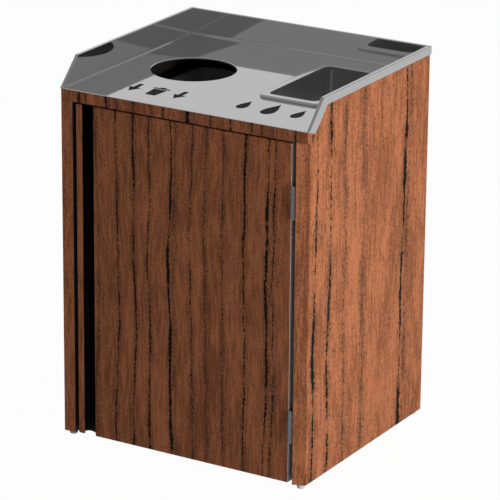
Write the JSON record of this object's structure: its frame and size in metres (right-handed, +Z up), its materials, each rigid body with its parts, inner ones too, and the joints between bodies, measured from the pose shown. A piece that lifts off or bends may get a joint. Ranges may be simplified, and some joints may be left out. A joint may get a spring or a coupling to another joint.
{
  "type": "trash receptacle cabinet",
  "caption": "Wood laminate waste cabinet with a polished steel tray top, round drop hole, lift-out liquids pan and a hinged front door over a bin.",
  "frame": {"origin": "on the floor, under the middle of the whole object's bounding box", "axes": "+Z up, +X to the right seen from the front, -Y towards the person at the door"},
  "size_m": [0.6546, 0.5746, 0.914],
  "materials": {
    "reddish_laminate": "satin laminate with dark vertical grain streaks",
    "inner_board": "plain satin board",
    "batten_wood": "bare planed wood",
    "mirror_steel": "mirror-polished stainless steel",
    "pan_steel": "polished stainless steel",
    "hinge_steel": "satin zinc plate",
    "screw_steel": "bright zinc plate",
    "catch_plastic": "smooth matte",
    "black_enamel": "smooth black",
    "bumper_rubber": "matte",
    "glide_nylon": "smooth matte",
    "bin_plastic": "fine-grained matte"
  },
  "bodies": {
    "cabinet": {"left_side_panel": "reddish_laminate", "right_side_panel": "reddish_laminate", "back_panel": "reddish_laminate", "floor_panel": "inner_board", "front_rail": "reddish_laminate", "front_batten": "batten_wood", "rear_batten": "batten_wood", "left_batten": "batten_wood", "right_batten": "batten_wood", "steel_top": "mirror_steel", "upper_hinge_panel_leaf": "hinge_steel", "lower_hinge_panel_leaf": "hinge_steel", "hinge_pins": "screw_steel", "hinge_panel_screws": "screw_steel", "catch_housing": "catch_plastic", "catch_magnet": "black_enamel", "catch_screws": "screw_steel", "batten_screws": "screw_steel", "wood_dowels": "batten_wood", "glides": "glide_nylon", "glide_nails": "screw_steel", "waste_bin": "bin_plastic"},
    "door": {"door_panel": "reddish_laminate", "upper_hinge_door_leaf": "hinge_steel", "lower_hinge_door_leaf": "hinge_steel", "hinge_door_screws": "screw_steel", "strike_plate": "screw_steel", "strike_screw": "screw_steel", "door_bumpers": "bumper_rubber"},
    "pan": {"liquids_pan": "pan_steel"}
  },
  "joints": [
    {"name": "door_hinge", "type": "hinge", "parent": "cabinet", "child": "door", "pos_m": [0.2893, -0.282, 0.4148], "axis": [0, 0, 1], "range_deg": [0, 180]},
    {"name": "pan_lift", "type": "slide", "parent": "cabinet", "child": "pan", "axis": [0, 0, 1], "range_m": [0, 0.17]}
  ]
}
